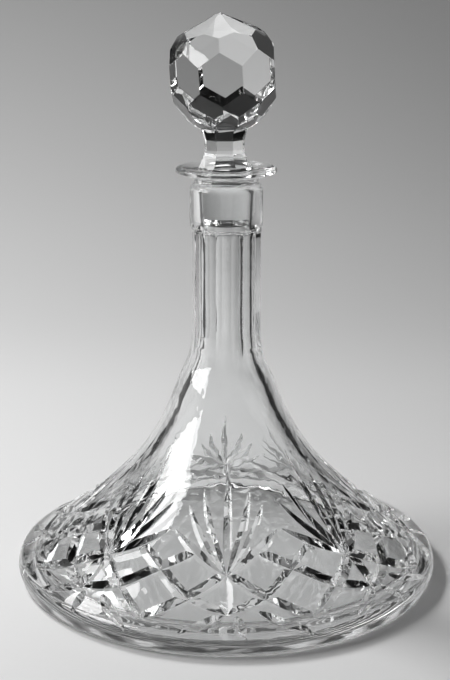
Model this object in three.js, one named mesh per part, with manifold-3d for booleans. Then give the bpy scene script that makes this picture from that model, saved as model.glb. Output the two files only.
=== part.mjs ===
// A cut-glass ship's decanter: a wide-based bottle and its faceted ball stopper.
// Units are millimetres and +Z is up. The origin is the centre of the ground base.

import * as THREE from 'three';
import { mergeVertices } from 'three/addons/utils/BufferGeometryUtils.js';
import Module from 'manifold-3d';

const wasm = await Module();
wasm.setup();

// Foot: the widest ring of the base and the flat ground face under it.
const footRadius = 105;
const footRingHeight = 5.5;
const footUndercut = 1.6;
const shoulderHeight = 11;
const shoulderInset = 2.6;

// Flare: the concave sweep from the foot's shoulder up to the neck.
const flareTopHeight = 122.7;
const neckRadius = 17.2;

// Neck, collar, throat and lip, upwards from the flare.
const neckLength = 51.3;
const collarRadius = 17.6;
const collarLength = 18;
const throatRadius = 14.6;
const throatLength = 3.8;
const lipRadius = 24.2;
const lipRise = 5.4;
const lipEdge = 2;
const lipDish = 0.8;

// Glass thickness, floor, and the bore with its tapered seat.
const flareWall = 5;
const floorThickness = 5;
const bowlCorner = 1.5;
const boreRadius = 10.4;
const seatLength = 28;
const seatTopRadius = 12.6;
const seatEndRadius = 11.2;
const mouthChamfer = 0.8;

// Slices: eight flat panels on the neck that run out on the flare.
const panelCount = 8;
const panelTurnDegrees = 6;
const panelRound = 3;
const panelRunOutRadius = 26;

// Cutting: fans of leaves, the lattice under them, and a spray of three leaves by the foot.
const leafWidth = 4.4;
const leafDepth = 1.3;
const mitreWidth = 6.2;
const mitreDepth = 2.1;
const sprayWidth = 4.8;
const sprayDepth = 1.3;
const cutOverrun = 1.2;

// Stopper: the tapered plug, the eight-sided stem and the ball.
const fitClearance = 0.3;
const plugLength = 26;
const plugEndDome = 0.9;
const plugChamfer = 0.6;
const stemSides = 8;
const stemFootRadius = 13.6;
const stemWaistRadius = 10.25;
const stemTopRadius = 13;
const stemLength = 22.5;
const stemLeanDegrees = 1.2;
const ballRadius = 24.2;
const ballSink = 1.8;
const ballForwardDegrees = 2;
const ballSidewaysDegrees = 3.3;
const ballTurnDegrees = 2.6;

// Fineness of the round surfaces.
const roundSides = 48;
const boreSides = 24;
const flareSteps = 9;
const arcSteps = 2;
const panelRunOutSteps = 4;

// The flare's course: how far out and how far up, as shares of its width and height.
const flareShares = [
  [0, 1],
  [0.02, 0.89],
  [0.075, 0.785],
  [0.17, 0.61],
  [0.3, 0.45],
  [0.455, 0.32],
  [0.61, 0.21],
  [0.76, 0.125],
  [0.905, 0.036],
  [1, 0],
];

// Where each fan stands round the foot, as shares of an even pitch: the cutter's spacing drifts.
const fanPlaceShares = [0, 1.07, 2.05, 3.03, 4.01, 4.99, 5.97, 6.95];

// A fan's leaves: share of the half pitch and of the flare's width at the tip, and the leaf's
// fullness as a share of the common leaf. The outermost ones are fuller.
const leafShares = [
  { tip: [-0.97, 0.515], fullShare: 1.3 },
  { tip: [-0.83, 0.403], fullShare: 1 },
  { tip: [-0.55, 0.335], fullShare: 1 },
  { tip: [0.06, 0.232], fullShare: 1 },
  { tip: [0.57, 0.335], fullShare: 1 },
  { tip: [0.8, 0.403], fullShare: 1 },
  { tip: [0.96, 0.515], fullShare: 1.3 },
];
const fanRootShare = 0.707;
const fanLobeShare = 0.604;

// The lattice under the fans: knots on the flare, as shares of its width.
const latticeTopKnotShare = 0.7;
const latticeMidKnotShare = 0.825;
const latticeLowKnotShare = 0.886;
const latticeEndShare = 0.94;

// The spray: each leaf's start and tip, as shares of the half pitch and of the flare's width.
const sprayShares = [
  { start: [-0.04, 0.895], tip: [-0.53, 1.009] },
  { start: [0.11, 0.9], tip: [0.2, 1.026] },
  { start: [0.38, 0.885], tip: [0.91, 1.028] },
];

// How far ahead of a cut's station its course is sighted, as a share of the way to the next knot.
const sightShare = 0.02;

// How far a cut runs past the place where it meets others, as a share of its last stretch.
const crossingShare = 0.06;

// How deep a cut is along its length, as shares of its full depth.
const leafDepthShares = [0.6, 1, 0.7, 0];
const mitreDepthShares = [0.85, 1, 1, 0.9, 0.35];
const barDepthShares = [0.8, 1, 0.8];
const sprayDepthShares = [0.4, 1, 0.75, 0];

// The stem's course: radius between waist and end, and height, as shares. It flares out of a
// straight waist, down to its foot and up into the ball.
const stemFootShares = [
  [1, 0],
  [0.5, 0.135],
  [0, 0.29],
];
const stemTopShares = [
  [0, 0.58],
  [0.42, 0.74],
  [1, 1],
];

// The ball's rows of facets: latitude of each face, its reach as a share of the ball's radius,
// and its turn as a share of the pitch.
const ballRows = [
  { latitude: 0, reachShare: 1, turnShare: 0 },
  { latitude: 30.7, reachShare: 1.02, turnShare: 0.5 },
  { latitude: 64, reachShare: 0.985, turnShare: 0 },
  { latitude: -31.5, reachShare: 1.09, turnShare: 0.5 },
  { latitude: -57.3, reachShare: 1.178, turnShare: 0 },
];
const ballFacetCount = 8;

const crystal = { color: 0xe9edef, roughness: 0.03, metalness: 0 };

// Heights that follow from the sizes above.
const shoulderRadius = footRadius - shoulderInset;
const flareWidth = shoulderRadius - neckRadius;
const flareHeight = flareTopHeight - shoulderHeight;
const collarBottom = flareTopHeight + neckLength;
const collarTop = collarBottom + collarLength;
const throatHeight = collarTop + throatLength;
const lipBottom = throatHeight + lipRise;
const lipTop = lipBottom + lipEdge;
const mouthHeight = lipTop - lipDish;
const seatBottom = mouthHeight - seatLength;
const fanCount = fanPlaceShares.length;
const fanPitch = (2 * Math.PI) / fanCount;

const flare = new THREE.SplineCurve(
  flareShares.map(([out, up]) =>
    new THREE.Vector2(neckRadius + out * flareWidth, shoulderHeight + up * flareHeight)),
);

// The point of the flare at a share of its width, with its outward normal. Past the whole width
// it is on the foot's rounded shoulder.
function flareAt(share) {
  const radius = neckRadius + share * flareWidth;
  if (share > 1) {
    const round = shoulderHeight - footRingHeight;
    const out = Math.min((radius - shoulderRadius) / shoulderInset, 1);
    const up = Math.sqrt(1 - out * out);
    const normal = new THREE.Vector2(out / shoulderInset, up / round).normalize();
    return { radius, height: footRingHeight + up * round, normal };
  }
  let low = 0;
  let high = 1;
  for (let step = 0; step < 40; step += 1) {
    const middle = (low + high) / 2;
    if (flare.getPoint(middle).x < radius) low = middle;
    else high = middle;
  }
  const point = flare.getPoint(low);
  const tangent = flare.getTangent(low);
  return { radius, height: point.y, normal: new THREE.Vector2(-tangent.y, tangent.x) };
}

// A three.js geometry as a solid, and back.
function toSolid(geometry) {
  const bare = geometry.index ? geometry.toNonIndexed() : geometry.clone();
  bare.deleteAttribute('normal');
  bare.deleteAttribute('uv');
  const merged = mergeVertices(bare, 1e-5);
  return new wasm.Manifold(new wasm.Mesh({
    numProp: 3,
    vertProperties: new Float32Array(merged.attributes.position.array),
    triVerts: new Uint32Array(merged.index.array),
  }));
}

function toGeometry(solid) {
  const mesh = solid.getMesh();
  const geometry = new THREE.BufferGeometry();
  geometry.setAttribute('position', new THREE.BufferAttribute(mesh.vertProperties, 3));
  geometry.setIndex(new THREE.BufferAttribute(mesh.triVerts, 1));
  const facets = geometry.toNonIndexed();
  facets.computeVertexNormals();
  return facets;
}

// A solid of revolution about +Z, from points of radius and height listed upwards from the axis.
function turned(points, sides, turn = 0) {
  const profile = points.map(([radius, height]) => new THREE.Vector2(radius, height));
  const geometry = new THREE.LatheGeometry(profile, sides);
  geometry.rotateX(Math.PI / 2);
  geometry.rotateZ(turn);
  return toSolid(geometry);
}

// Points of a quarter ellipse between two corners of a profile, leaving along the first height.
function quarter(from, to) {
  const points = [];
  for (let step = 1; step <= arcSteps; step += 1) {
    const angle = (step / arcSteps) * (Math.PI / 2);
    points.push([
      to[0] + (from[0] - to[0]) * Math.cos(angle),
      from[1] + (to[1] - from[1]) * Math.sin(angle),
    ]);
  }
  return points;
}

// The bottle's outside, before any cutting.
function outside() {
  const points = [[0, 0], [footRadius - footUndercut, 0]];
  points.push([footRadius, footRingHeight]);
  points.push(...quarter([footRadius, footRingHeight], [shoulderRadius, shoulderHeight]));
  for (let step = 1; step <= flareSteps; step += 1) {
    const point = flare.getPoint(1 - step / flareSteps);
    points.push([point.x, point.y]);
  }
  points.push([neckRadius, collarBottom - panelRound]);
  points.push([collarRadius, collarBottom + panelRound]);
  points.push([collarRadius, collarTop]);
  points.push(...quarter([collarRadius, collarTop], [throatRadius, throatHeight]));
  points.push([throatRadius + lipEdge, throatHeight + lipEdge]);
  points.push([lipRadius - lipEdge, lipBottom - lipEdge / 2]);
  points.push([lipRadius, lipBottom]);
  points.push([lipRadius, lipBottom + lipEdge / 2]);
  points.push([lipRadius - lipEdge, lipTop]);
  points.push([seatTopRadius + lipEdge, mouthHeight]);
  points.push([0, mouthHeight]);
  return turned(points, roundSides);
}

// The space that the panels leave: eight-sided over the neck and wider than the glass elsewhere.
function panelEnvelope() {
  const halfSide = Math.PI / panelCount;
  const depth = neckRadius * (1 - Math.cos(halfSide));
  const flat = neckRadius - depth;
  const runOut = flareAt((panelRunOutRadius - neckRadius) / flareWidth);
  const wide = footRadius + cutOverrun;
  const points = [[0, -cutOverrun], [wide, -cutOverrun], [wide, shoulderHeight]];
  points.push([panelRunOutRadius + depth, runOut.height - depth]);
  for (let step = 0; step <= panelRunOutSteps; step += 1) {
    const done = step / panelRunOutSteps;
    const at = flareAt(((panelRunOutRadius - neckRadius) / flareWidth) * (1 - done));
    points.push([at.radius - depth * done, at.height]);
  }
  points.push([flat, collarBottom - panelRound]);
  points.push([flat + depth, collarBottom]);
  points.push([collarRadius + cutOverrun, collarBottom + panelRound]);
  points.push([lipRadius + lipEdge, lipBottom]);
  points.push([lipRadius + lipEdge, lipTop + cutOverrun]);
  points.push([0, lipTop + cutOverrun]);
  const corners = points.map(([radius, height]) => [radius / Math.cos(halfSide), height]);
  const turn = THREE.MathUtils.degToRad(panelTurnDegrees - 90) + halfSide;
  return turned(corners, panelCount, turn);
}

// The inside of the flare's wall at a share of the way down it.
function insideFlare(share) {
  const at = flare.getPoint(share);
  const tangent = flare.getTangent(share);
  const neckWall = neckRadius - boreRadius;
  const thickness = neckWall + (flareWall - neckWall) * share;
  return [at.x + tangent.y * thickness, at.y - tangent.x * thickness];
}

// The share of the way down the flare where the inside of its wall reaches a height.
function shareInsideAt(height) {
  let low = 0;
  let high = 1;
  for (let step = 0; step < 40; step += 1) {
    const middle = (low + high) / 2;
    if (insideFlare(middle)[1] > height) low = middle;
    else high = middle;
  }
  return low;
}

// The bowl, the neck's bore, the tapered seat and the mouth, as one solid to take away.
function cavity() {
  const cornerShare = shareInsideAt(floorThickness + bowlCorner);
  const wall = [];
  for (let step = flareSteps; step >= 0; step -= 1) {
    const point = insideFlare((cornerShare * step) / flareSteps);
    if (point[0] > boreRadius) wall.push(point);
  }
  const [cornerRadius] = wall[0];
  const points = [[0, floorThickness], [cornerRadius - bowlCorner, floorThickness]];
  points.push(...wall);
  points.push([boreRadius, flareTopHeight + bowlCorner]);
  points.push([boreRadius, seatBottom + boreRadius - seatEndRadius]);
  points.push([seatEndRadius, seatBottom]);
  points.push([seatTopRadius, mouthHeight - mouthChamfer]);
  points.push([seatTopRadius + mouthChamfer, mouthHeight]);
  points.push([seatTopRadius + mouthChamfer, lipTop + cutOverrun]);
  points.push([0, lipTop + cutOverrun]);
  return turned(points, boreSides);
}

// A place on the flare: turned from a fan's centre line by a share of half the way to the
// neighbour on that side.
function placeOnFlare(fan, turnShare, widthShare) {
  const at = flareAt(widthShare);
  const place = fanPlaceShares[fan];
  const right = fan + 1 < fanCount ? fanPlaceShares[fan + 1] - place : fanCount - place;
  const left = fan > 0 ? place - fanPlaceShares[fan - 1] : fanCount - fanPlaceShares[fanCount - 1];
  const angle = (place + (turnShare * (turnShare < 0 ? left : right)) / 2) * fanPitch;
  const out = new THREE.Vector3(Math.sin(angle), -Math.cos(angle), 0);
  const position = out.clone().multiplyScalar(at.radius);
  position.z = at.height;
  const normal = out.clone().multiplyScalar(at.normal.x).setZ(at.normal.y).normalize();
  if (normal.z < 0) normal.negate();
  return { position, normal };
}

// A V-shaped cut along the glass through some places, each a pair of shares. Its depth follows
// the shares given, and its width goes with its depth.
function mitreCut(fan, knots, depthShares, width, depth) {
  const positions = [];
  const stations = depthShares.length;
  for (let station = 0; station < stations; station += 1) {
    const along = (station / (stations - 1)) * (knots.length - 1);
    const first = Math.min(Math.floor(along), knots.length - 2);
    const part = along - first;
    const share = [0, 1].map((axis) =>
      knots[first][axis] + (knots[first + 1][axis] - knots[first][axis]) * part);
    const ahead = knots[first].map((value, axis) =>
      share[axis] + (knots[first + 1][axis] - value) * sightShare);
    const here = placeOnFlare(fan, ...share);
    const course = placeOnFlare(fan, ...ahead).position.sub(here.position).normalize();
    const side = new THREE.Vector3().crossVectors(here.normal, course).normalize();
    const below = depthShares[station] * depth;
    const reach = ((below + cutOverrun) * width) / (2 * depth);
    const crown = here.position.clone().addScaledVector(here.normal, cutOverrun);
    positions.push([
      here.position.clone().addScaledVector(here.normal, -below),
      crown.clone().addScaledVector(side, -reach),
      crown.clone().addScaledVector(side, reach),
    ]);
  }
  return toSolid(loft(positions));
}

// A closed geometry through rings of equal count, with flat ends.
function loft(rings) {
  const count = rings[0].length;
  const vertices = [];
  const face = (a, b, c) => vertices.push(...a.toArray(), ...b.toArray(), ...c.toArray());
  for (let ring = 0; ring + 1 < rings.length; ring += 1) {
    for (let corner = 0; corner < count; corner += 1) {
      const next = (corner + 1) % count;
      face(rings[ring][corner], rings[ring + 1][corner], rings[ring + 1][next]);
      face(rings[ring][corner], rings[ring + 1][next], rings[ring][next]);
    }
  }
  for (let corner = 1; corner + 1 < count; corner += 1) {
    const last = rings[rings.length - 1];
    face(rings[0][0], rings[0][corner], rings[0][corner + 1]);
    face(last[0], last[corner + 1], last[corner]);
  }
  const geometry = new THREE.BufferGeometry();
  geometry.setAttribute('position', new THREE.Float32BufferAttribute(vertices, 3));
  return geometry;
}

// A knot moved on past its place, away from the knot before it.
function past(from, to) {
  return to.map((value, axis) => value + (value - from[axis]) * crossingShare);
}

// One fan with the lattice and the spray that hang under it.
function fanCuts(fan) {
  const cuts = [];
  const root = [0, fanRootShare];
  const low = [0, latticeLowKnotShare];
  leafShares.forEach(({ tip, fullShare }) => {
    const knots = [past(tip, root), tip];
    cuts.push(mitreCut(fan, knots, leafDepthShares, leafWidth * fullShare, leafDepth * fullShare));
  });
  [-1, 1].forEach((side) => {
    const middle = [side * 0.5, latticeMidKnotShare];
    const outer = [past(middle, root), middle, past(middle, [side, latticeEndShare])];
    cuts.push(mitreCut(fan, outer, mitreDepthShares, mitreWidth, mitreDepth));
    const inner = [
      [side * 1.5, fanLobeShare],
      [side, latticeTopKnotShare],
      middle,
      past(middle, low),
    ];
    cuts.push(mitreCut(fan, inner, mitreDepthShares, mitreWidth, mitreDepth));
  });
  const bar = [past(low, root), past(root, low)];
  cuts.push(mitreCut(fan, bar, barDepthShares, mitreWidth, mitreDepth));
  sprayShares.forEach(({ start, tip }) => {
    cuts.push(mitreCut(fan, [start, tip], sprayDepthShares, sprayWidth, sprayDepth));
  });
  return cuts;
}

function bottle() {
  let glass = outside().intersect(panelEnvelope()).subtract(cavity());
  for (let fan = 0; fan < fanCount; fan += 1) {
    fanCuts(fan).forEach((cut) => {
      glass = glass.subtract(cut);
    });
  }
  return toGeometry(glass);
}

// The ball, cut face by face out of a block, about its own centre.
function ball() {
  const block = 4 * ballRadius;
  let glass = toSolid(new THREE.BoxGeometry(block, block, block));
  const lean = new THREE.Euler(
    THREE.MathUtils.degToRad(ballForwardDegrees),
    -THREE.MathUtils.degToRad(ballSidewaysDegrees),
    -THREE.MathUtils.degToRad(ballTurnDegrees),
  );
  ballRows.forEach(({ latitude, reachShare, turnShare }) => {
    for (let facet = 0; facet < ballFacetCount; facet += 1) {
      const angle = ((facet + turnShare) / ballFacetCount) * 2 * Math.PI;
      const slope = THREE.MathUtils.degToRad(latitude);
      const normal = new THREE.Vector3(
        Math.cos(slope) * Math.sin(angle),
        -Math.cos(slope) * Math.cos(angle),
        Math.sin(slope),
      ).applyEuler(lean);
      const keep = new THREE.BoxGeometry(block * 2, block * 2, block * 2);
      keep.translate(0, 0, reachShare * ballRadius - block);
      keep.applyQuaternion(new THREE.Quaternion().setFromUnitVectors(new THREE.Vector3(0, 0, 1), normal));
      glass = glass.intersect(toSolid(keep));
    }
  });
  return glass;
}

// A solid moved by a matrix.
function moved(solid, matrix) {
  return toSolid(toGeometry(solid).applyMatrix4(matrix));
}

// The ground plug is true to the neck. The stem and the ball over it lean a little to the left.
function stopper() {
  const stemBottom = lipTop + fitClearance;
  const stemTop = stemBottom + stemLength;
  const between = (shares, end) => shares.map(([out, up]) =>
    [stemWaistRadius + out * (end - stemWaistRadius), stemBottom + up * stemLength]);
  const stemPoints = [
    [0, stemBottom],
    ...between(stemFootShares, stemFootRadius),
    ...between(stemTopShares, stemTopRadius),
    [0, stemTop],
  ];
  const stem = turned(stemPoints, stemSides, Math.PI / stemSides);

  const taper = (seatTopRadius - seatEndRadius) / (seatLength - mouthChamfer);
  const plugTopRadius = seatTopRadius - fitClearance;
  const plugBottom = mouthHeight - plugLength;
  const plugEndRadius = plugTopRadius - taper * (plugLength - mouthChamfer);
  const plugPoints = [
    [0, plugBottom - plugEndDome],
    [plugEndRadius - plugChamfer, plugBottom],
    [plugEndRadius, plugBottom + plugChamfer],
    [plugTopRadius, mouthHeight - mouthChamfer],
    [plugTopRadius, stemBottom + fitClearance],
    [0, stemBottom + fitClearance],
  ];
  const plug = turned(plugPoints, boreSides);

  const slope = Math.tan(THREE.MathUtils.degToRad(stemLeanDegrees));
  const lean = new THREE.Matrix4().makeShear(0, 0, 0, 0, -slope, 0);
  lean.premultiply(new THREE.Matrix4().makeTranslation(slope * plugBottom, 0, 0));
  const centre = new THREE.Vector3(0, 0, stemTop + ballRadius - ballSink).applyMatrix4(lean);
  const place = new THREE.Matrix4().makeTranslation(centre);
  return toGeometry(moved(ball(), place).add(moved(stem, lean)).add(plug));
}

function piece(name, geometry) {
  const mesh = new THREE.Mesh(geometry, new THREE.MeshStandardMaterial(crystal));
  mesh.name = name;
  return mesh;
}

const decanter = new THREE.Group();
decanter.add(piece('bottle', bottle()), piece('stopper', stopper()));

export default decanter;
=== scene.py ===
"""Finishes a ship's decanter of cut crystal: the bottle, its faceted stopper and a small studio."""

import math
from typing import NamedTuple

import bmesh
import bpy
from bpy.props import FloatProperty, FloatVectorProperty, IntProperty, PointerProperty
from mathutils import Matrix, Vector
from mathutils.geometry import interpolate_bezier


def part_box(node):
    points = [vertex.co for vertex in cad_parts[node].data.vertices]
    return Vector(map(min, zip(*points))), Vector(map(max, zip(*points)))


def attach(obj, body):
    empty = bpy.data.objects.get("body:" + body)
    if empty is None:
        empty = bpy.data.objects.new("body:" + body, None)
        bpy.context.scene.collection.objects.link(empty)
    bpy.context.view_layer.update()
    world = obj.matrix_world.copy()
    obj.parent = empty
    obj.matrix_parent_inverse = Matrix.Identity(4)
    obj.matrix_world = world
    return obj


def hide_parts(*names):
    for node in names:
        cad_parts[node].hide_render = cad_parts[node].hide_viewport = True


bl_info = {
    "name": "Cut Crystal Decanter",
    "version": (1, 0, 0),
    "blender": (4, 5, 0),
    "location": "View3D > Sidebar > Decanter",
    "description": "Makes a cut-crystal ship's decanter with its stopper and a small studio round it",
    "category": "Add Mesh",
}

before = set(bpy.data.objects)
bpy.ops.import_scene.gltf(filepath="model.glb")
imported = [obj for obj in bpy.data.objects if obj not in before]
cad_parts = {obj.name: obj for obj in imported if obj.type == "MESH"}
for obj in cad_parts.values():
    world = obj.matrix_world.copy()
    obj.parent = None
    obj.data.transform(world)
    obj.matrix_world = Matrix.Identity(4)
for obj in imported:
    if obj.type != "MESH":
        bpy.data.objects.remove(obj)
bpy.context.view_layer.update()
BOTTLE_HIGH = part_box("bottle")[1]

MM = 0.001

# Where each fan stands round the foot, counted in even pitches from the front one. The spacing
# drifts, as it does when fans are cut by hand.
FAN_PLACES = (0, 1.07, 2.05, 3.03, 4.01, 4.99, 5.97, 6.95)
FAN_COUNT = len(FAN_PLACES)
FAN_PITCH = 2 * math.pi / FAN_COUNT
FAN_GAPS = [b - a for a, b in zip(FAN_PLACES, (*FAN_PLACES[1:], FAN_COUNT))]

# The flare's course: how far out and how far up, as shares of its width and height.
FLARE_SHARES = (
    (0, 1), (0.02, 0.89), (0.075, 0.785), (0.17, 0.61), (0.3, 0.45),
    (0.455, 0.32), (0.61, 0.21), (0.76, 0.125), (0.905, 0.036), (1, 0),
)

# How long the handles of the shoulder's curve are: at the foot's ring as a share of the
# shoulder's rise, and at the flare as a share of its inset.
SHOULDER_HANDLE_SHARES = (0.55, 0.6)

# Places of the cuts are given as two shares: of half the gap to the next fan, from a fan's centre
# line, and of the flare's width, from the neck.

# A fan's leaves: the two shares of the tip, and how full the leaf is against a common one.
LEAF_SHARES = (
    (-0.97, 0.515, 1.3), (-0.83, 0.403, 1), (-0.55, 0.335, 1), (0.06, 0.232, 1),
    (0.57, 0.335, 1), (0.8, 0.403, 1), (0.96, 0.515, 1.3),
)

# The root is where a fan's leaves meet. The lobe is where a lattice cut starts, beyond the middle
# between two fans. The knots are where lattice cuts cross or end. All but the root and the low
# knot are there on both sides.
FAN_ROOT = (0, 0.707)
FAN_LOBE = (1.5, 0.604)
TOP_KNOT = (1, 0.7)
MIDDLE_KNOT = (0.5, 0.825)
LOW_KNOT = (0, 0.886)
END_KNOT = (1, 0.94)

# The spray by the foot: each leaf's start and tip.
SPRAY_SHARES = (
    ((-0.04, 0.895), (-0.53, 1.009)),
    ((0.11, 0.9), (0.2, 1.026)),
    ((0.38, 0.885), (0.91, 1.028)),
)

# How deep a cut is along its length, as shares of its full depth.
LEAF_DEPTH_SHARES = (0.5, 0.72, 0.9, 1, 1, 0.92, 0.78, 0.58, 0.34, 0)
MITRE_DEPTH_SHARES = (0.6, 0.85, 0.97, 1, 1, 1, 1, 1, 0.97, 0.88, 0.7, 0.35)
BAR_DEPTH_SHARES = (0.8, 0.95, 1, 0.95, 0.8)
SPRAY_DEPTH_SHARES = (0.3, 0.7, 0.95, 1, 0.9, 0.7, 0.4, 0)

# How far a cut runs past the place where it meets others, as a share of its last stretch, and how
# far ahead and back its course is sighted, as a share of its length.
CROSSING_SHARE = 0.06
SIGHT_SHARE = 0.02

# The stem's course: radius between waist and end, and height, as shares. The foot and the top
# flare out of a straight waist.
STEM_FOOT_SHARES = ((1, 0), (0.5, 0.135), (0.04, 0.275), (0, 0.3))
STEM_TOP_SHARES = ((0, 0.57), (0.05, 0.595), (0.42, 0.74), (1, 1))

# The ball's rows of facets: latitude, reach as a share of the ball's radius, turn as a share
# of the pitch.
BALL_ROWS = (
    (0, 1, 0), (30.7, 1.02, 0.5), (64, 0.985, 0), (-31.5, 1.09, 0.5), (-57.3, 1.178, 0),
)
BALL_FACETS = 8

# How finely the turned shapes are divided, round the axis and along the parts of their section.
BOTTLE_SIDES = 192
PLUG_SIDES = 96
ARC_STEPS = 6
SHOULDER_STEPS = 12
FLARE_STEPS = 64
COLLAR_STEPS = 12
LIP_STEPS = 15
DISH_STEPS = 10
WALL_STEPS = 48
BOWL_CORNER_STEPS = 8
RUN_OUT_STEPS = 24
PANEL_END_STEPS = 8
DOME_STEPS = 8

# How often the search for a radius on the flare halves its stretch.
FLARE_HALVINGS = 40

# How close two points are one and the same, in metres: in turned shapes and cutting planes, and
# where several facets meet.
SAME_POINT = 1e-7
SAME_CORNER = 1e-6

# Edges sharper than this stay sharp.
BOTTLE_CREASE = math.radians(20)
STOPPER_CREASE = math.radians(12)

# The crystal's finishes: name, least and most roughness, height of the waves in metres, and how
# many waves and smears there are to a metre.
FINISHES = (
    ("polished crystal", (0.0, 0.01), 0.00004, 60, 30),
    ("blown crystal", (0.0, 0.01), 0.00035, 70, 30),
    ("ground crystal", (0.06, 0.1), 0.000004, 1800, 900),
)
POLISHED, BLOWN, GROUND = range(len(FINISHES))
CRYSTAL_IOR = 1.545
WAVE_DETAIL = 2
SMEAR_DETAIL = 4
SMEAR_RANGE = (0.35, 0.75)

# How light the paper is painted by its reach, which is its distance behind the decanter plus its
# height,
# in metres. This is painted shade: darker further back and higher up, where less light falls.
PAPER_REACH = 1.3
PAPER_SHADE_GRADES = ((0, 0.87), (0.3, 0.8), (0.7, 0.615), (1.3, 0.28))

# Between these reaches the right side is painted darker than the left: painted shade, where less of
# the light from the left falls.
# The lean is what a metre to the right adds, and the middle level is what the grades are multiplied
# by at the centre.
LEAN_REACHES = (0.1, 1.1)
SHADE_LEANS = (0, -0.46)
MIDDLE_LEVEL = 1.02

# The paper's surface: how rough it is, how fine its tooth is, and what the tooth does to its grey.
PAPER_ROUGHNESS = 0.8
TOOTH_SCALE = 900
TOOTH_SHARES = (0.985, 1.015)

# How far behind the decanter the pale part widens, how far its edge takes to go over into dark
# grey, and how much of the paper's grey is left there. The pale part inside the dark grey is a
# painted pool of light.
WIDENING_PLACES = (0.26, 0.34)
FADE_WIDTH = 0.08
DARK_SHARE = 0.03

# Between these distances from the middle of the base the pad's glow goes over into the floor's.
PAD_EDGE = (0.07, 0.105)

# How far the paper curves up behind the decanter. It ends low, so that a view from behind and a
# little above looks over it.
PAPER_ARC = math.radians(60)
PAPER_ARC_STEPS = 24

# The camera's frame in millimetres, the grey of the room, and how often light is followed
# through the crystal and through clear surfaces.
FRAME_WIDTH = 36
ROOM_GREY = (0.5, 0.5, 0.5, 1)
GLASS_BOUNCES = 64
CLEAR_BOUNCES = 12


class SoftLight(NamedTuple):
    """A rectangular light that faces the decanter. Azimuth 0 is behind it and 90 to its right, in
    degrees. Brightness is what a white wall in its place would have to shine with."""

    name: str
    azimuth: float
    elevation: float
    distance: float
    width: float
    height: float
    brightness: float
    upright: bool = False


# The key light throws the shadow on the paper, and the others show in the facets.
KEY_LIGHT = SoftLight("key light", -54, 48, 1.2, 0.3, 0.3, 32)
FACET_LIGHTS = (
    SoftLight("left softbox", -100.5, 39.9, 0.667, 0.342, 0.466, 8, upright=True),
    SoftLight("back softbox", -50, 46, 1.2, 0.24, 0.24, 8),
    SoftLight("left card", -85, 8, 0.9, 0.9, 0.4, 0.8),
    SoftLight("right card", 105, 10, 0.8, 0.8, 0.35, 0.45),
    SoftLight("top softbox", 18, 61, 1.2, 0.6, 0.4, 1.5),
)
LIGHT_TARGET = Vector((0, 0, 0.08))


def length(name, description, size):
    """A size in millimetres as a property in metres."""
    return FloatProperty(name=name, description=description, default=size * MM, unit="LENGTH")


class BottleSizes(bpy.types.PropertyGroup):
    """Sizes of the bottle."""

    foot_ring_height: length("Foot ring height", "Height of the widest ring of the base", 5.5)
    foot_undercut: length("Foot undercut", "How far the low wall draws in under the ring", 1.6)
    foot_corner: length("Foot corner", "Rounding between the underside and the low wall", 1.2)
    shoulder_height: length("Shoulder height", "Height where the flare starts", 11)
    shoulder_inset: length("Shoulder inset", "How far the shoulder draws in from the foot", 2.6)
    flare_top: length("Flare top", "Height where the flare meets the neck", 122.7)
    neck_radius: length("Neck radius", "Radius over the neck's arrises", 17.2)
    neck_length: length("Neck length", "Length of the sliced neck", 51.3)
    collar_radius: length("Collar radius", "Radius of the plain collar", 17.6)
    collar_length: length("Collar length", "Length of the plain collar", 18)
    throat_radius: length("Throat radius", "Radius between collar and lip", 14.6)
    throat_length: length("Throat length", "Height of the collar's rounded shoulder", 3.8)
    lip_radius: length("Lip radius", "Radius of the disc lip", 24.2)
    lip_rise: length("Lip rise", "Height from the throat to the lip's rim", 5.4)
    lip_edge: length("Lip edge", "Thickness of the lip at its rim", 2)
    lip_dish: length("Lip dish", "How far the lip is dished round the mouth", 0.8)
    flare_wall: length("Flare wall", "Glass thickness at the foot of the flare", 5)
    floor: length("Floor", "Glass thickness under the bowl", 5)
    foot_ring_width: length("Foot ring width", "Width of the ground ring under the base", 12)
    bowl_corner: length("Bowl corner", "Rounding between floor and wall", 4)
    bore_radius: length("Bore radius", "Radius of the neck's bore", 10.4)
    seat_length: length("Seat length", "Length of the ground seat", 28)
    seat_top_radius: length("Seat top radius", "Radius of the seat at the mouth", 12.6)
    seat_end_radius: length("Seat end radius", "Radius of the seat at its lower end", 11.2)
    mouth_chamfer: length("Mouth chamfer", "Chamfer round the mouth", 0.8)
    panel_round: length("Panel round", "How softly the panels end under the collar", 3)
    panel_run_out: length("Panel run-out", "Radius where the panels run out on the flare", 24)
    leaf_width: length("Leaf width", "Width of a fan's leaf", 4.4)
    leaf_depth: length("Leaf depth", "Depth of a fan's leaf", 1.7)
    mitre_width: length("Mitre width", "Width of a lattice cut", 6.2)
    mitre_depth: length("Mitre depth", "Depth of a lattice cut", 2.6)
    bar_depth: length("Bar depth", "Depth of the upright cut under a fan", 2.1)
    spray_width: length("Spray width", "Width of a leaf by the foot", 5.2)
    spray_depth: length("Spray depth", "Depth of a leaf by the foot", 2.4)
    cut_overrun: length("Cut overrun", "How far a cutter stands proud of the glass", 1.2)
    panel_count: IntProperty(name="Panels", description="Flat panels round the neck", default=8)
    panel_turn: FloatProperty(
        name="Panel turn", description="Turn of the panels against the front",
        default=math.radians(6), subtype="ANGLE")


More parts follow.
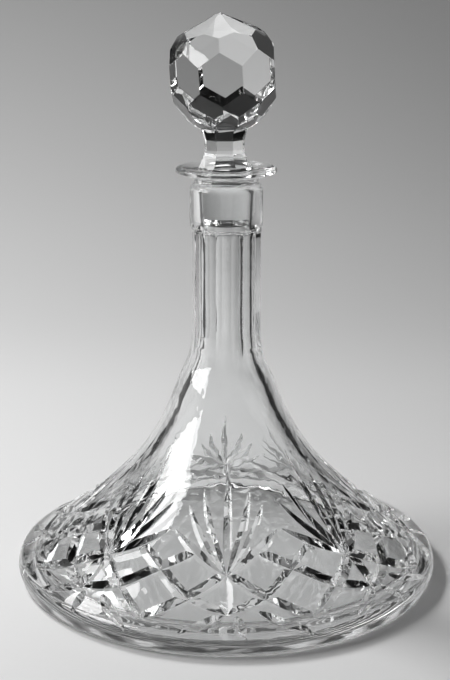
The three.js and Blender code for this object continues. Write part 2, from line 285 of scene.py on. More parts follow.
class StopperSizes(bpy.types.PropertyGroup):
    """Sizes of the stopper."""

    clearance: length("Clearance", "Gap all round the ground plug and under the stem", 0.3)
    plug_length: length("Plug length", "Length of the ground plug below the mouth", 26)
    plug_dome: length("Plug dome", "How far the plug's end swells", 0.9)
    plug_chamfer: length("Plug chamfer", "Chamfer round the plug's end", 0.6)
    stem_foot_radius: length("Stem foot radius", "Radius over the arrises at the lip", 13.6)
    stem_waist_radius: length("Stem waist radius", "Radius over the arrises at the waist", 10.25)
    stem_top_radius: length("Stem top radius", "Radius over the arrises in the ball", 13)
    stem_length: length("Stem length", "Height from the lip to the stem's top in the ball", 22.5)
    ball_radius: length("Ball radius", "Half the ball's width over the girdle facets", 24.2)
    ball_sink: length("Ball sink", "How far the stem's top stands in the ball", 1.8)
    edge: length("Facet edge", "Width of the polished edge between two facets", 0.22)
    stem_sides: IntProperty(name="Stem sides", description="Sides of the stem", default=8)
    stem_lean: FloatProperty(
        name="Stem lean", description="How far the stem leans to the left",
        default=math.radians(1.2), subtype="ANGLE")
    ball_turn: FloatVectorProperty(
        name="Ball turn", description="Turn of the ball: forwards, sideways and round",
        default=[math.radians(a) for a in (2, -3.3, -2.6)], subtype="EULER")


class StudioSizes(bpy.types.PropertyGroup):
    """Sizes and greys of the studio, and the crystal's tint."""

    camera_distance: length("Camera distance", "How far in front the camera is", 686.2)
    camera_height: length("Camera height", "Height of the camera", 305.7)
    camera_aside: length("Camera aside", "How far the camera stands to the left", 0.6)
    camera_pitch: FloatProperty(
        name="Camera pitch", description="How far the camera looks down",
        default=math.radians(15.315), subtype="ANGLE")
    camera_lens: FloatProperty(
        name="Camera lens", description="Focal length in millimetres", default=76.76)
    floor_grey: FloatProperty(
        name="Floor grey", description="Reflectance of the floor", default=0.7, subtype="FACTOR")
    floor_glow: FloatProperty(
        name="Floor glow", description="Light that comes up through the floor", default=0.1)
    pad_glow: FloatProperty(
        name="Pad glow", description="Light that comes up under the base", default=0.62)
    room_light: FloatProperty(
        name="Room light", description="Light of the dark room round the studio", default=0.006)
    floor_gap: length("Floor gap", "Air between the ground base and the floor", 0.4)
    paper_width: length("Paper width", "Width of the pale part beside the decanter", 330)
    paper_back_width: length("Paper back width", "Width of the pale part behind it", 1130)
    paper_front: length("Paper front", "How far the paper is pale in front of it", 700)
    paper_length: length("Paper length", "How far the dark rest of the paper goes", 2000)
    paper_bend: length("Paper bend", "Where the paper starts to curve up", 450)
    paper_radius: length("Paper radius", "Radius of the paper's curve", 600)
    crystal_colour: FloatVectorProperty(
        name="Crystal", description="Tint of the crystal", default=(0.985, 0.99, 0.99),
        size=3, min=0, max=1, subtype="COLOR")


def bottle_sizes():
    """The bottle's sizes, as the scene holds them."""
    return bpy.context.scene.decanter_bottle


def stopper_sizes():
    """The stopper's sizes, as the scene holds them."""
    return bpy.context.scene.decanter_stopper


def studio_sizes():
    """The studio's sizes and greys, as the scene holds them."""
    return bpy.context.scene.decanter_studio


# Courses, as points of radius and height.

def spline(points, share):
    """The point at a share of the way along the smooth curve through some points, and its
    direction there."""
    place = share * (len(points) - 1)
    first = min(int(place), len(points) - 2)
    part = place - first
    before, after = points[max(first - 1, 0)], points[min(first + 2, len(points) - 1)]
    start, end = points[first], points[first + 1]
    leaving, arriving = (end - before) / 2, (after - start) / 2
    cubed = 2 * start - 2 * end + leaving + arriving
    squared = -3 * start + 3 * end - 2 * leaving - arriving
    point = cubed * part ** 3 + squared * part ** 2 + leaving * part + start
    course = 3 * cubed * part ** 2 + 2 * squared * part + leaving
    return point, course.normalized()


def even_course(points, steps):
    """Points spaced evenly along the smooth curve through some profile points."""
    nodes = [Vector(p) for p in points]
    return [tuple(spline(nodes, step / steps)[0]) for step in range(steps + 1)]


def quarter(start, end, steps):
    """Points of a quarter ellipse between two corners of a profile, leaving along its height."""
    points = []
    for step in range(1, steps + 1):
        angle = step / steps * math.pi / 2
        points.append((end[0] + (start[0] - end[0]) * math.cos(angle),
                       start[1] + (end[1] - start[1]) * math.sin(angle)))
    return points


def quarter_out(start, end, steps):
    """As quarter, but leaving along its radius."""
    return [point[::-1] for point in quarter(start[::-1], end[::-1], steps)]


class BottleForm:
    """Heights and radii of the bottle that follow from its sizes."""

    def __init__(self, size):
        self.size = size
        self.foot_radius = BOTTLE_HIGH.x
        self.shoulder_radius = self.foot_radius - size.shoulder_inset
        self.shoulder_rise = size.shoulder_height - size.foot_ring_height
        self.flare_width = self.shoulder_radius - size.neck_radius
        self.flare_height = size.flare_top - size.shoulder_height
        self.collar_bottom = size.flare_top + size.neck_length
        self.collar_top = self.collar_bottom + size.collar_length
        self.throat = self.collar_top + size.throat_length
        self.lip_bottom = self.throat + size.lip_rise
        self.lip_top = self.lip_bottom + size.lip_edge
        self.mouth = self.lip_top - size.lip_dish
        self.seat_bottom = self.mouth - size.seat_length
        self.points = [
            Vector((size.neck_radius + out * self.flare_width,
                    size.shoulder_height + up * self.flare_height))
            for out, up in FLARE_SHARES
        ]

    def flare(self, share):
        """Point and direction of the flare, from the neck at 0 down to the shoulder at 1."""
        return spline(self.points, share)

    def flare_at(self, share):
        """Point and outward normal of the flare at a share of its width. Past the whole width it
        goes on over the shoulder, as a quarter ellipse."""
        size = self.size
        radius = size.neck_radius + share * self.flare_width
        if share > 1:
            out = min((radius - self.shoulder_radius) / size.shoulder_inset, 1)
            up = math.sqrt(1 - out * out)
            normal = Vector((out / size.shoulder_inset, up / self.shoulder_rise)).normalized()
            return Vector((radius, size.foot_ring_height + up * self.shoulder_rise)), normal
        low, high = 0.0, 1.0
        for _ in range(FLARE_HALVINGS):
            middle = (low + high) / 2
            if self.flare(middle)[0].x < radius:
                low = middle
            else:
                high = middle
        point, course = self.flare(low)
        return Vector((radius, point.y)), Vector((-course.y, course.x))


# Mesh helpers.

def object_from(name, bm):
    """A bmesh as an object of the scene."""
    mesh = bpy.data.meshes.new(name)
    bm.to_mesh(mesh)
    bm.free()
    thing = bpy.data.objects.new(name, mesh)
    bpy.context.scene.collection.objects.link(thing)
    return thing


def solid_from(name, bm):
    """A closed bmesh as an object of the scene, with all its faces outwards."""
    bmesh.ops.recalc_face_normals(bm, faces=bm.faces)
    if bm.calc_volume(signed=True) < 0:
        bmesh.ops.reverse_faces(bm, faces=bm.faces)
    return object_from(name, bm)


def spun(name, points, sides, turn=0.0):
    """A closed object of revolution about +Z, from points of radius and height."""
    bm = bmesh.new()
    line = [bm.verts.new((radius, 0, height)) for radius, height in points]
    edges = [bm.edges.new(pair) for pair in zip(line, line[1:])]
    bmesh.ops.spin(bm, geom=line + edges, cent=(0, 0, 0), axis=(0, 0, 1),
                   angle=2 * math.pi, steps=sides, use_merge=True)
    bmesh.ops.rotate(bm, verts=bm.verts, cent=(0, 0, 0), matrix=Matrix.Rotation(turn, 3, "Z"))
    bmesh.ops.remove_doubles(bm, verts=bm.verts, dist=SAME_POINT)
    return solid_from(name, bm)


def draw_through(bm, sections):
    """Adds a solid whose closed section is drawn through its places, with both ends closed."""
    first = face = bm.faces.new([bm.verts.new(corner) for corner in sections[0]])
    for section in sections[1:]:
        made = bmesh.ops.extrude_face_region(bm, geom=[face])["geom"]
        if face is not first:
            bmesh.ops.delete(bm, geom=[face], context="FACES_ONLY")
        face = next(f for f in made if isinstance(f, bmesh.types.BMFace))
        for vert, corner in zip(face.verts, section):
            vert.co = corner


def combine(thing, tool, operation):
    """Joins, cuts or intersects an object with a tool object, which is used up."""
    modifier = thing.modifiers.new("Boolean", "BOOLEAN")
    modifier.operation = operation
    modifier.solver = "MANIFOLD"
    modifier.object = tool
    depsgraph = bpy.context.evaluated_depsgraph_get()
    mesh = bpy.data.meshes.new_from_object(thing.evaluated_get(depsgraph))
    thing.modifiers.clear()
    old, thing.data = thing.data, mesh
    mesh.name = thing.name
    bpy.data.meshes.remove(old)
    used = tool.data
    bpy.data.objects.remove(tool)
    bpy.data.meshes.remove(used)


def moved(thing, matrix):
    """An object whose mesh is moved, while the object itself stays at the origin."""
    thing.data.transform(matrix)
    return thing


def shade(thing, crease):
    """Shades an object smooth, but keeps the edges sharper than a crease."""
    thing.data.shade_smooth()
    thing.data.set_sharp_from_angle(angle=crease)


def give_finishes(thing, finish_of_face=lambda centre, normal: POLISHED):
    """Gives a piece the crystal's finishes, face by face, or the polished one all over."""
    thing.data.materials.clear()
    for material in crystal_materials():
        thing.data.materials.append(material)
    for polygon in thing.data.polygons:
        polygon.material_index = finish_of_face(polygon.center, polygon.normal)


# The bottle.

def bottle_profile(form):
    """The whole section of the bottle as one closed line, up the outside and down the inside."""
    return foot_line(form) + neck_line(form) + lip_line(form) + inside_line(form)


def foot_line(form):
    """From the axis along the ground underside, up the low wall and over the shoulder."""
    size = form.size
    corner = size.foot_corner
    low = (form.foot_radius - size.foot_undercut - corner, 0)
    side = (form.foot_radius - size.foot_undercut * (1 - corner / size.foot_ring_height), corner)
    ring = (form.foot_radius, size.foot_ring_height)
    return [(0, 0), (form.foot_radius - size.foot_ring_width, 0), low,
            *quarter_out(low, side, ARC_STEPS), ring, *shoulder(form, ring)]


def shoulder(form, ring):
    """The convex round from the foot's ring up to the flare, which it meets without a crease."""
    end, course = form.flare(1)
    start = Vector(ring)
    rise_share, inset_share = SHOULDER_HANDLE_SHARES
    first_handle = start + Vector((0, rise_share * form.shoulder_rise))
    last_handle = end + course * (inset_share * form.size.shoulder_inset)
    curve = interpolate_bezier(start, first_handle, last_handle, end, SHOULDER_STEPS + 1)
    return [tuple(point) for point in curve[1:]]


def neck_line(form):
    """Up the flare and the neck, and over the collar to the throat."""
    size = form.size
    flare = [tuple(form.flare(1 - step / FLARE_STEPS)[0]) for step in range(1, FLARE_STEPS + 1)]
    soft = size.panel_round
    collar = even_course([
        (size.neck_radius, form.collar_bottom - 2 * soft),
        (size.neck_radius, form.collar_bottom - soft),
        (size.collar_radius, form.collar_bottom + soft),
        (size.collar_radius, form.collar_bottom + 2 * soft),
    ], COLLAR_STEPS)
    collar.append((size.collar_radius, form.collar_top))
    return flare + collar + quarter(collar[-1], (size.throat_radius, form.throat), ARC_STEPS)


def lip_line(form):
    """From the throat out to the rim of the disc lip, and over its dished top to the mouth."""
    size = form.size
    edge = size.lip_edge
    underside = even_course([
        (size.throat_radius, form.throat),
        (size.throat_radius + edge, form.throat + edge),
        (size.lip_radius - edge, form.lip_bottom - edge / 2),
        (size.lip_radius, form.lip_bottom),
    ], LIP_STEPS)
    rim = quarter((size.lip_radius, form.lip_bottom + edge / 2),
                  (size.lip_radius - edge, form.lip_top), ARC_STEPS)
    dish = even_course([
        (size.lip_radius - edge, form.lip_top),
        (size.seat_top_radius + 2 * edge, form.mouth + size.lip_dish / 4),
        (size.seat_top_radius + size.mouth_chamfer, form.mouth),
    ], DISH_STEPS)
    return underside[1:] + rim + dish[1:]


def inside_line(form):
    """Down the ground seat, the bore and the bowl's wall, and along its floor to the axis."""
    size = form.size
    points = [
        (size.seat_top_radius, form.mouth - size.mouth_chamfer),
        (size.seat_end_radius, form.seat_bottom),
        (size.bore_radius, form.seat_bottom - (size.seat_end_radius - size.bore_radius)),
        (size.bore_radius, size.flare_top + size.bowl_corner),
    ]
    neck_wall = size.neck_radius - size.bore_radius
    for step in range(WALL_STEPS + 1):
        share = step / WALL_STEPS
        point, course = form.flare(share)
        thickness = neck_wall + (size.flare_wall - neck_wall) * share
        inside = (point.x + course.y * thickness, point.y - course.x * thickness)
        if inside[1] > size.floor + size.bowl_corner and inside[0] > size.bore_radius:
            points.append(inside)
    corner = points[-1]
    points += quarter(corner, (corner[0] - size.bowl_corner, size.floor), BOWL_CORNER_STEPS)
    points.append((0, size.floor))
    return points


def panel_envelope(form):
    """The space that the panels leave: flat-sided round the neck, and wider than the glass
    elsewhere."""
    size = form.size
    half_side = math.pi / size.panel_count
    depth = size.neck_radius * (1 - math.cos(half_side))
    run_share = (size.panel_run_out - size.neck_radius) / form.flare_width
    run_out = form.flare_at(run_share)[0]
    proud = size.cut_overrun
    beside_foot = form.foot_radius + proud
    points = [(0, -proud), (beside_foot, -proud), (beside_foot, size.shoulder_height),
              (size.panel_run_out + depth, run_out.y - depth)]
    for step in range(RUN_OUT_STEPS + 1):
        done = step / RUN_OUT_STEPS
        at = form.flare_at(run_share * (1 - done))[0]
        points.append((at.x - depth * done, at.y))
    panel_end = (size.neck_radius - depth, form.collar_bottom - size.panel_round)
    collar_side = (size.collar_radius + proud, form.collar_bottom + size.panel_round / 2)
    points += [panel_end, *quarter(panel_end, collar_side, PANEL_END_STEPS)]
    beside_lip, over_lip = size.lip_radius + size.lip_edge, form.lip_top + proud
    points += [(beside_lip, form.lip_bottom), (beside_lip, over_lip), (0, over_lip)]
    corners = [(radius / math.cos(half_side), height) for radius, height in points]
    front = size.panel_turn - math.pi / 2 + half_side
    return spun("panel envelope", corners, size.panel_count, front)


class Cut(NamedTuple):
    """A V cut that is repeated at every fan. Its knots are places, given as shares."""

    knots: list
    depth_shares: tuple
    width: float
    depth: float


def place_on_flare(form, fan, turn_share, width_share):
    """Place and outward normal on the flare, from the two shares that give it beside a fan."""
    point, slope = form.flare_at(width_share)
    gap = FAN_GAPS[fan - 1 if turn_share < 0 else fan]
    angle = (FAN_PLACES[fan] + turn_share * gap / 2) * FAN_PITCH
    out = Vector((math.sin(angle), -math.cos(angle), 0))
    normal = (out * slope.x + Vector((0, 0, slope.y))).normalized()
    if normal.z < 0:
        normal.negate()
    return out * point.x + Vector((0, 0, point.y)), normal


def add_cutter(bm, form, fan, cut):
    """Adds the solid that makes a cut at one fan. Its V section follows the glass."""
    knots = [Vector(knot) for knot in cut.knots]
    sections = []
    for station, depth_share in enumerate(cut.depth_shares):
        share = station / (len(cut.depth_shares) - 1)
        here = spline(knots, share)[0]
        ahead = spline(knots, min(share + SIGHT_SHARE, 1))[0]
        behind = spline(knots, max(share - SIGHT_SHARE, 0))[0]
        place, normal = place_on_flare(form, fan, *here)
        course = place_on_flare(form, fan, *ahead)[0] - place_on_flare(form, fan, *behind)[0]
        side = normal.cross(course).normalized()
        below = depth_share * cut.depth
        reach = (below + form.size.cut_overrun) * cut.width / (2 * cut.depth)
        crown = place + normal * form.size.cut_overrun
        sections.append([place - normal * below, crown - side * reach, crown + side * reach])
    draw_through(bm, sections)


def past(start, knot):
    """A knot moved on past its place, away from the knot before it."""
    return tuple(b + (b - a) * CROSSING_SHARE for a, b in zip(start, knot))


def cuts_of_fan(size):
    """The cuts at a fan: its leaves, the lattice on both sides, the upright bar and the spray."""
    cuts = []
    for turn, out, fullness in LEAF_SHARES:
        tip = (turn, out)
        cuts.append(Cut([past(tip, FAN_ROOT), tip], LEAF_DEPTH_SHARES,
                        size.leaf_width * fullness, size.leaf_depth * fullness))
    for side in (-1, 1):
        lobe, top, middle, end = [
            (side * turn, out) for turn, out in (FAN_LOBE, TOP_KNOT, MIDDLE_KNOT, END_KNOT)]
        outer = [past(middle, FAN_ROOT), middle, past(middle, end)]
        inner = [lobe, top, middle, past(middle, LOW_KNOT)]
        cuts += [Cut(knots, MITRE_DEPTH_SHARES, size.mitre_width, size.mitre_depth)
                 for knots in (outer, inner)]
    cuts.append(Cut([past(LOW_KNOT, FAN_ROOT), past(FAN_ROOT, LOW_KNOT)], BAR_DEPTH_SHARES,
                    size.mitre_width, size.bar_depth))
    cuts += [Cut([start, tip], SPRAY_DEPTH_SHARES, size.spray_width, size.spray_depth)
             for start, tip in SPRAY_SHARES]
    return cuts


def finish_of_bottle(form, centre, normal):
    """Which finish a face of the turned bottle has: ground at the seat, under the base and on the
    low wall of the foot, blown inside, and polished elsewhere."""
    size = form.size
    radius = math.hypot(centre.x, centre.y)
    inward = centre.x * normal.x + centre.y * normal.y < 0
    under = normal.z < 0 and centre.z < size.floor / 2
    if inward and form.seat_bottom < centre.z < form.mouth - size.mouth_chamfer:
        return GROUND
    if under and radius > form.foot_radius - size.foot_ring_width:
        return GROUND
    if centre.z < size.foot_ring_height and radius > form.foot_radius - 2 * size.foot_undercut:
        return GROUND
    on_floor = radius < form.foot_radius / 2 and normal.z > 0
    if centre.z < form.seat_bottom and (inward or on_floor):
        return BLOWN
    return POLISHED


def cut_bottle():
    """Turns the bottle, slices its panels and makes the cuts, each at all the fans at once."""
    form = BottleForm(bottle_sizes())
    glass = spun("bottle_crystal", bottle_profile(form), BOTTLE_SIDES)
    give_finishes(glass, lambda centre, normal: finish_of_bottle(form, centre, normal))
    combine(glass, panel_envelope(form), "INTERSECT")
    for cut in cuts_of_fan(form.size):
        bm = bmesh.new()
        for fan in range(FAN_COUNT):
            add_cutter(bm, form, fan, cut)
        combine(glass, solid_from("cutter", bm), "DIFFERENCE")
    shade(glass, BOTTLE_CREASE)
    return glass


# The stopper.

def faceted_ball(size):
    """The ball, cut face by face out of a block about its own centre, with fine polished edges."""
    bm = bmesh.new()
    bmesh.ops.create_cube(bm, size=4 * size.ball_radius)
    turn = size.ball_turn.to_matrix()
    for latitude, reach_share, turn_share in BALL_ROWS:
        slope = math.radians(latitude)
        for facet in range(BALL_FACETS):
            angle = (facet + turn_share) / BALL_FACETS * 2 * math.pi
            normal = turn @ Vector((math.cos(slope) * math.sin(angle),
                                    -math.cos(slope) * math.cos(angle), math.sin(slope)))
            cut = bmesh.ops.bisect_plane(
                bm, geom=bm.verts[:] + bm.edges[:] + bm.faces[:], dist=SAME_POINT,
                plane_co=normal * (reach_share * size.ball_radius), plane_no=normal,
                clear_outer=True)
            rim = [e for e in cut["geom_cut"] if isinstance(e, bmesh.types.BMEdge)]
            bmesh.ops.edgeloop_fill(bm, edges=rim)
    bmesh.ops.remove_doubles(bm, verts=bm.verts, dist=SAME_CORNER)
    bmesh.ops.recalc_face_normals(bm, faces=bm.faces)
    bmesh.ops.bevel(bm, geom=bm.edges[:], offset=size.edge / 2, offset_type="OFFSET", segments=1,
                    profile=0.5, affect="EDGES", material=-1)
    ball = solid_from("stopper_crystal", bm)
    give_finishes(ball)
    return ball


def stem_of_stopper(size, bottom):
    """The flat-sided stem, from its bottom over the lip to its top in the ball."""
    def part(shares, end_radius):
        return [(size.stem_waist_radius + out * (end_radius - size.stem_waist_radius),
                 bottom + up * size.stem_length) for out, up in shares]

    course = part(STEM_FOOT_SHARES, size.stem_foot_radius)
    course += part(STEM_TOP_SHARES, size.stem_top_radius)
    stem = spun("stem", [(0, bottom), *course, (0, bottom + size.stem_length)],
                size.stem_sides, math.pi / size.stem_sides)
    give_finishes(stem)
    return stem


def plug_of_stopper(size, form, bottom, top):
    """The ground plug, which follows the seat's taper, with a domed end."""
    seat = form.size
    taper = (seat.seat_top_radius - seat.seat_end_radius) / (seat.seat_length - seat.mouth_chamfer)
    top_radius = seat.seat_top_radius - size.clearance
    end_radius = top_radius - taper * (size.plug_length - seat.mouth_chamfer)
    angles = [step / DOME_STEPS * math.pi / 2 for step in range(DOME_STEPS + 1)]
    dome = [(math.sin(angle) * (end_radius - size.plug_chamfer),
             bottom - size.plug_dome * math.cos(angle)) for angle in angles]
    plug = spun("plug", [*dome, (end_radius, bottom + size.plug_chamfer),
                         (top_radius, form.mouth - seat.mouth_chamfer), (top_radius, top),
                         (0, top)], PLUG_SIDES)

    def finish_of_plug(centre, normal):
        on_side = abs(normal.z) < 0.5
        in_seat = bottom + size.plug_chamfer / 2 < centre.z < form.mouth
        return GROUND if on_side and in_seat else POLISHED

    give_finishes(plug, finish_of_plug)
    return plug


def cut_stopper():
    """Joins the ball, the stem and the plug. The ball and the stem lean from the plug's end."""
    size = stopper_sizes()
    form = BottleForm(bottle_sizes())
    plug_bottom = form.mouth - size.plug_length
    stem_bottom = form.lip_top + size.clearance
    stem_top = stem_bottom + size.stem_length
    slope = math.tan(size.stem_lean)
    lean = Matrix.Identity(4)
    lean[0][2] = -slope
    lean[0][3] = slope * plug_bottom
    centre = lean @ Vector((0, 0, stem_top + size.ball_radius - size.ball_sink))
    stopper = moved(faceted_ball(size), Matrix.Translation(centre))
    combine(stopper, moved(stem_of_stopper(size, stem_bottom), lean), "UNION")
    plug = plug_of_stopper(size, form, plug_bottom, stem_bottom + size.clearance)
    combine(stopper, plug, "UNION")
    shade(stopper, STOPPER_CREASE)
    return stopper


def put_in_place(thing, body, node):
    """Puts a crystal piece in the place of its CAD node."""
    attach(thing, body)
    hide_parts(node)


# Materials.

class Nodes:
    """The nodes of a new material."""

    def __init__(self, name):
        self.material = bpy.data.materials.new(name)
        self.material.use_nodes = True
        self.tree = self.material.node_tree
        self.tree.nodes.clear()

    def add(self, kind, inputs=None, **settings):
        """A node with its settings. Each input is a value or another node's output."""
        node = self.tree.nodes.new("ShaderNode" + kind)
        for setting, value in settings.items():
            setattr(node, setting, value)
        for socket, value in (inputs or {}).items():
            if isinstance(value, bpy.types.NodeSocket):
                self.tree.links.new(value, node.inputs[socket])
            else:
                node.inputs[socket].default_value = value
        return node

    def calculate(self, operation, *values):
        """The output of a Math node on some values or outputs."""
        return self.add("Math", dict(enumerate(values)), operation=operation).outputs["Value"]

    def carry_over(self, value, old, new, interpolation="LINEAR"):
        """The output that takes a value from an old range to a new one, and stays inside it."""
        inputs = {"Value": value, "From Min": old[0], "From Max": old[1],
                  "To Min": new[0], "To Max": new[1]}
        return self.add("MapRange", inputs, interpolation_type=interpolation).outputs["Result"]

    def surface(self, inputs):
        """Ends the material with a shader that has these inputs."""
        shader = self.add("BsdfPrincipled", inputs)
        self.add("OutputMaterial", {"Surface": shader.outputs["BSDF"]})
        return self.material


def crystal_material(name, roughness, wave, wave_scale, smear_scale):
    """Lead crystal: clear, with the faint waves of hand polishing or the grain of grinding."""
    nodes = Nodes(name)
    place = nodes.add("TexCoord").outputs["Object"]
    waves = nodes.add("TexNoise", {"Vector": place, "Scale": wave_scale, "Detail": WAVE_DETAIL})
    bump = nodes.add("Bump", {"Strength": 1, "Distance": wave, "Height": waves.outputs["Fac"]})
    smears = nodes.add("TexNoise", {"Vector": place, "Scale": smear_scale, "Detail": SMEAR_DETAIL})
    return nodes.surface({
        "Base Color": (*studio_sizes().crystal_colour, 1),
        "IOR": CRYSTAL_IOR,
        "Transmission Weight": 1,
        "Normal": bump.outputs["Normal"],
        "Roughness": nodes.carry_over(smears.outputs["Fac"], SMEAR_RANGE, roughness),
    })


def crystal_materials():
    """The crystal's materials, one for each finish, made at the first call."""
    return [bpy.data.materials.get(finish[0]) or crystal_material(*finish) for finish in FINISHES]


def paper_material(name, studio):
    """Backdrop paper: matt, with a faint tooth. Painted shade makes it darker further back, higher up
    and to the right. It is pale round the decanter and dark grey away from it, a painted pool of
    light. Light comes up through it, most of all under the base, as from a light pad."""
    nodes = Nodes(name)
    place = nodes.add("TexCoord").outputs["Object"]
    x, y, z = nodes.add("SeparateXYZ", {"Vector": place}).outputs

    # Painted shade: the paper's grey gets darker with reach, further back and higher up, where less
    # light falls.
    reach = nodes.calculate("ADD", y, z)
    ramp = nodes.add("ValToRGB", {"Fac": nodes.calculate("DIVIDE", reach, PAPER_REACH)})
    stops = ramp.color_ramp.elements
    for stop, (distance, level) in enumerate(PAPER_SHADE_GRADES):
        if stop > 1:
            stops.new(distance / PAPER_REACH)
        stops[stop].position = distance / PAPER_REACH
        stops[stop].color = (level, level, level, 1)
    # Painted shade: the right side of the paper is darker, where less of the light from the left
    # falls.
    lean = nodes.carry_over(reach, LEAN_REACHES, SHADE_LEANS)
    across = nodes.calculate("MULTIPLY_ADD", x, lean, MIDDLE_LEVEL)
    painted_shade = nodes.calculate("MULTIPLY", ramp.outputs["Color"], across)

    grey = studio.floor_grey
    tooth = nodes.add("TexNoise", {"Vector": place, "Scale": TOOTH_SCALE}).outputs["Fac"]
    toothed = nodes.carry_over(tooth, (0, 1), [grey * share for share in TOOTH_SHARES])
    pale = nodes.calculate("MULTIPLY", painted_shade, toothed)

    # Painted pool of light: the paper is pale round the decanter and dark grey away from it, in
    # colour and glow alike.
    half_widths = (studio.paper_width / 2, studio.paper_back_width / 2)
    pale_width = nodes.carry_over(y, WIDENING_PLACES, half_widths)
    beside = nodes.calculate("SUBTRACT", nodes.calculate("ABSOLUTE", x), pale_width)
    before = nodes.calculate("SUBTRACT", -studio.paper_front, y)
    outside = nodes.calculate("MAXIMUM", beside, before)
    painted_pool = nodes.carry_over(outside, (0, FADE_WIDTH), (1, DARK_SHARE), "SMOOTHSTEP")

    distance = nodes.add("VectorMath", {0: place}, operation="LENGTH").outputs["Value"]
    glows = (studio.pad_glow, studio.floor_glow)
    glow = nodes.carry_over(distance, PAD_EDGE, glows, "SMOOTHSTEP")
    return nodes.surface({
        "Base Color": nodes.calculate("MULTIPLY", pale, painted_pool),
        "Roughness": PAPER_ROUGHNESS,
        "Emission Color": (grey, grey, grey, 1),
        "Emission Strength": nodes.calculate("MULTIPLY", glow, painted_pool),
    })


# The studio.

def set_sweep(studio):
    """The paper sweep: flat under the decanter and curved up behind it."""
    level = -studio.floor_gap
    course = [(-studio.paper_length, level), (studio.paper_bend, level)]
    for step in range(1, PAPER_ARC_STEPS + 1):
        angle = step / PAPER_ARC_STEPS * PAPER_ARC
        course.append((studio.paper_bend + studio.paper_radius * math.sin(angle),
                       level + studio.paper_radius * (1 - math.cos(angle))))
    bm = bmesh.new()
    line = [bm.verts.new((-studio.paper_length, y, z)) for y, z in course]
    edges = [bm.edges.new(pair) for pair in zip(line, line[1:])]
    made = bmesh.ops.extrude_edge_only(bm, edges=edges)["geom"]
    far_side = [v for v in made if isinstance(v, bmesh.types.BMVert)]
    bmesh.ops.translate(bm, verts=far_side, vec=(2 * studio.paper_length, 0, 0))
    paper = object_from("floor", bm)
    paper.data.shade_smooth()
    paper.data.materials.append(paper_material("paper", studio))
    return paper


def set_light(soft):
    """Sets a soft light in its place."""
    light = bpy.data.lights.new(soft.name, "AREA")
    light.shape = "RECTANGLE"
    light.size = soft.width
    light.size_y = soft.height
    light.energy = soft.brightness * soft.width * soft.height * math.pi
    thing = bpy.data.objects.new(soft.name, light)
    bpy.context.scene.collection.objects.link(thing)
    azimuth, elevation = math.radians(soft.azimuth), math.radians(soft.elevation)
    level = math.cos(elevation)
    thing.location = LIGHT_TARGET + soft.distance * Vector(
        (math.sin(azimuth) * level, math.cos(azimuth) * level, math.sin(elevation)))
    aim = LIGHT_TARGET - thing.location
    if soft.upright:
        aim.z = 0
    thing.rotation_euler = aim.to_track_quat("-Z", "Y").to_euler()
    return thing


def shine_only_on(light, thing):
    """Lets a light shine on one thing only. The rest still throws its shadow."""
    lit = bpy.data.collections.new(light.name + " receivers")
    lit.objects.link(thing)
    light.light_linking.receiver_collection = lit


def set_camera(studio):
    """Sets the camera in front of the decanter, looking a little down."""
    camera = bpy.data.cameras.new("camera")
    camera.sensor_width = FRAME_WIDTH
    camera.lens = studio.camera_lens
    camera.clip_start = 10 * MM
    thing = bpy.data.objects.new("camera", camera)
    bpy.context.scene.collection.objects.link(thing)
    thing.location = (-studio.camera_aside, -studio.camera_distance, studio.camera_height)
    thing.rotation_euler = (math.pi / 2 - studio.camera_pitch, 0, 0)
    bpy.context.scene.camera = thing


def set_room(studio):
    """Sets the dark room round the studio, and how light is followed and shown."""
    scene = bpy.context.scene
    scene.world = bpy.data.worlds.new("studio")
    scene.world.use_nodes = True
    background = scene.world.node_tree.nodes["Background"]
    background.inputs["Color"].default_value = ROOM_GREY
    background.inputs["Strength"].default_value = studio.room_light
    scene.view_settings.view_transform = "Standard"
    scene.cycles.use_denoising = True
    scene.cycles.max_bounces = GLASS_BOUNCES
    scene.cycles.transmission_bounces = GLASS_BOUNCES
    scene.cycles.glossy_bounces = GLASS_BOUNCES
    scene.cycles.transparent_max_bounces = CLEAR_BOUNCES


# The add-on.

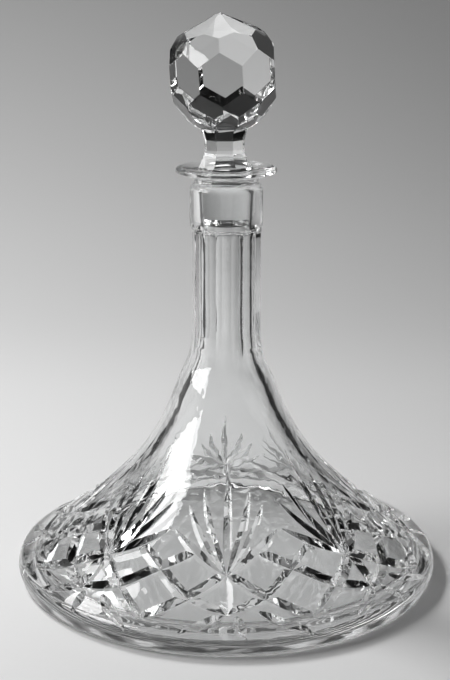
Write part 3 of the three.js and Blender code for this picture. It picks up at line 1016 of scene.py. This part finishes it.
class DECANTER_OT_studio(bpy.types.Operator):
    """Sets the camera, the paper sweep, the soft lights and the dark room"""

    bl_idname = "decanter.studio"
    bl_label = "Studio"

    def execute(self, context):
        studio = studio_sizes()
        set_camera(studio)
        paper = set_sweep(studio)
        shine_only_on(set_light(KEY_LIGHT), paper)
        for soft in FACET_LIGHTS:
            set_light(soft)
        set_room(studio)
        return {"FINISHED"}


class DECANTER_OT_bottle(bpy.types.Operator):
    """Cuts the crystal bottle"""

    bl_idname = "decanter.bottle"
    bl_label = "Bottle"

    def execute(self, context):
        put_in_place(cut_bottle(), "bottle", "bottle")
        return {"FINISHED"}


class DECANTER_OT_stopper(bpy.types.Operator):
    """Cuts the crystal stopper"""

    bl_idname = "decanter.stopper"
    bl_label = "Stopper"

    def execute(self, context):
        put_in_place(cut_stopper(), "stopper", "stopper")
        return {"FINISHED"}


class DECANTER_PT_panel(bpy.types.Panel):
    """Lists the decanter's steps and sizes"""

    bl_label = "Decanter"
    bl_idname = "DECANTER_PT_panel"
    bl_space_type = "VIEW_3D"
    bl_region_type = "UI"
    bl_category = "Decanter"

    def draw(self, context):
        for operator in OPERATORS:
            self.layout.operator(operator.bl_idname)
        for group in (bottle_sizes(), stopper_sizes(), studio_sizes()):
            column = self.layout.column()
            for name in group.bl_rna.properties.keys():
                if name not in ("rna_type", "name"):
                    column.prop(group, name)


OPERATORS = (DECANTER_OT_studio, DECANTER_OT_bottle, DECANTER_OT_stopper)
CLASSES = (BottleSizes, StopperSizes, StudioSizes) + OPERATORS + (DECANTER_PT_panel,)


def register():
    """Adds the classes, and the sizes to the scene."""
    for kind in CLASSES:
        bpy.utils.register_class(kind)
    bpy.types.Scene.decanter_bottle = PointerProperty(type=BottleSizes)
    bpy.types.Scene.decanter_stopper = PointerProperty(type=StopperSizes)
    bpy.types.Scene.decanter_studio = PointerProperty(type=StudioSizes)


def unregister():
    """Takes away what register adds."""
    del bpy.types.Scene.decanter_studio
    del bpy.types.Scene.decanter_stopper
    del bpy.types.Scene.decanter_bottle
    for kind in reversed(CLASSES):
        bpy.utils.unregister_class(kind)


def main():
    """Makes the studio, the bottle and the stopper."""
    register()
    bpy.ops.decanter.studio()
    bpy.ops.decanter.bottle()
    bpy.ops.decanter.stopper()


if __name__ == "__main__":
    main()
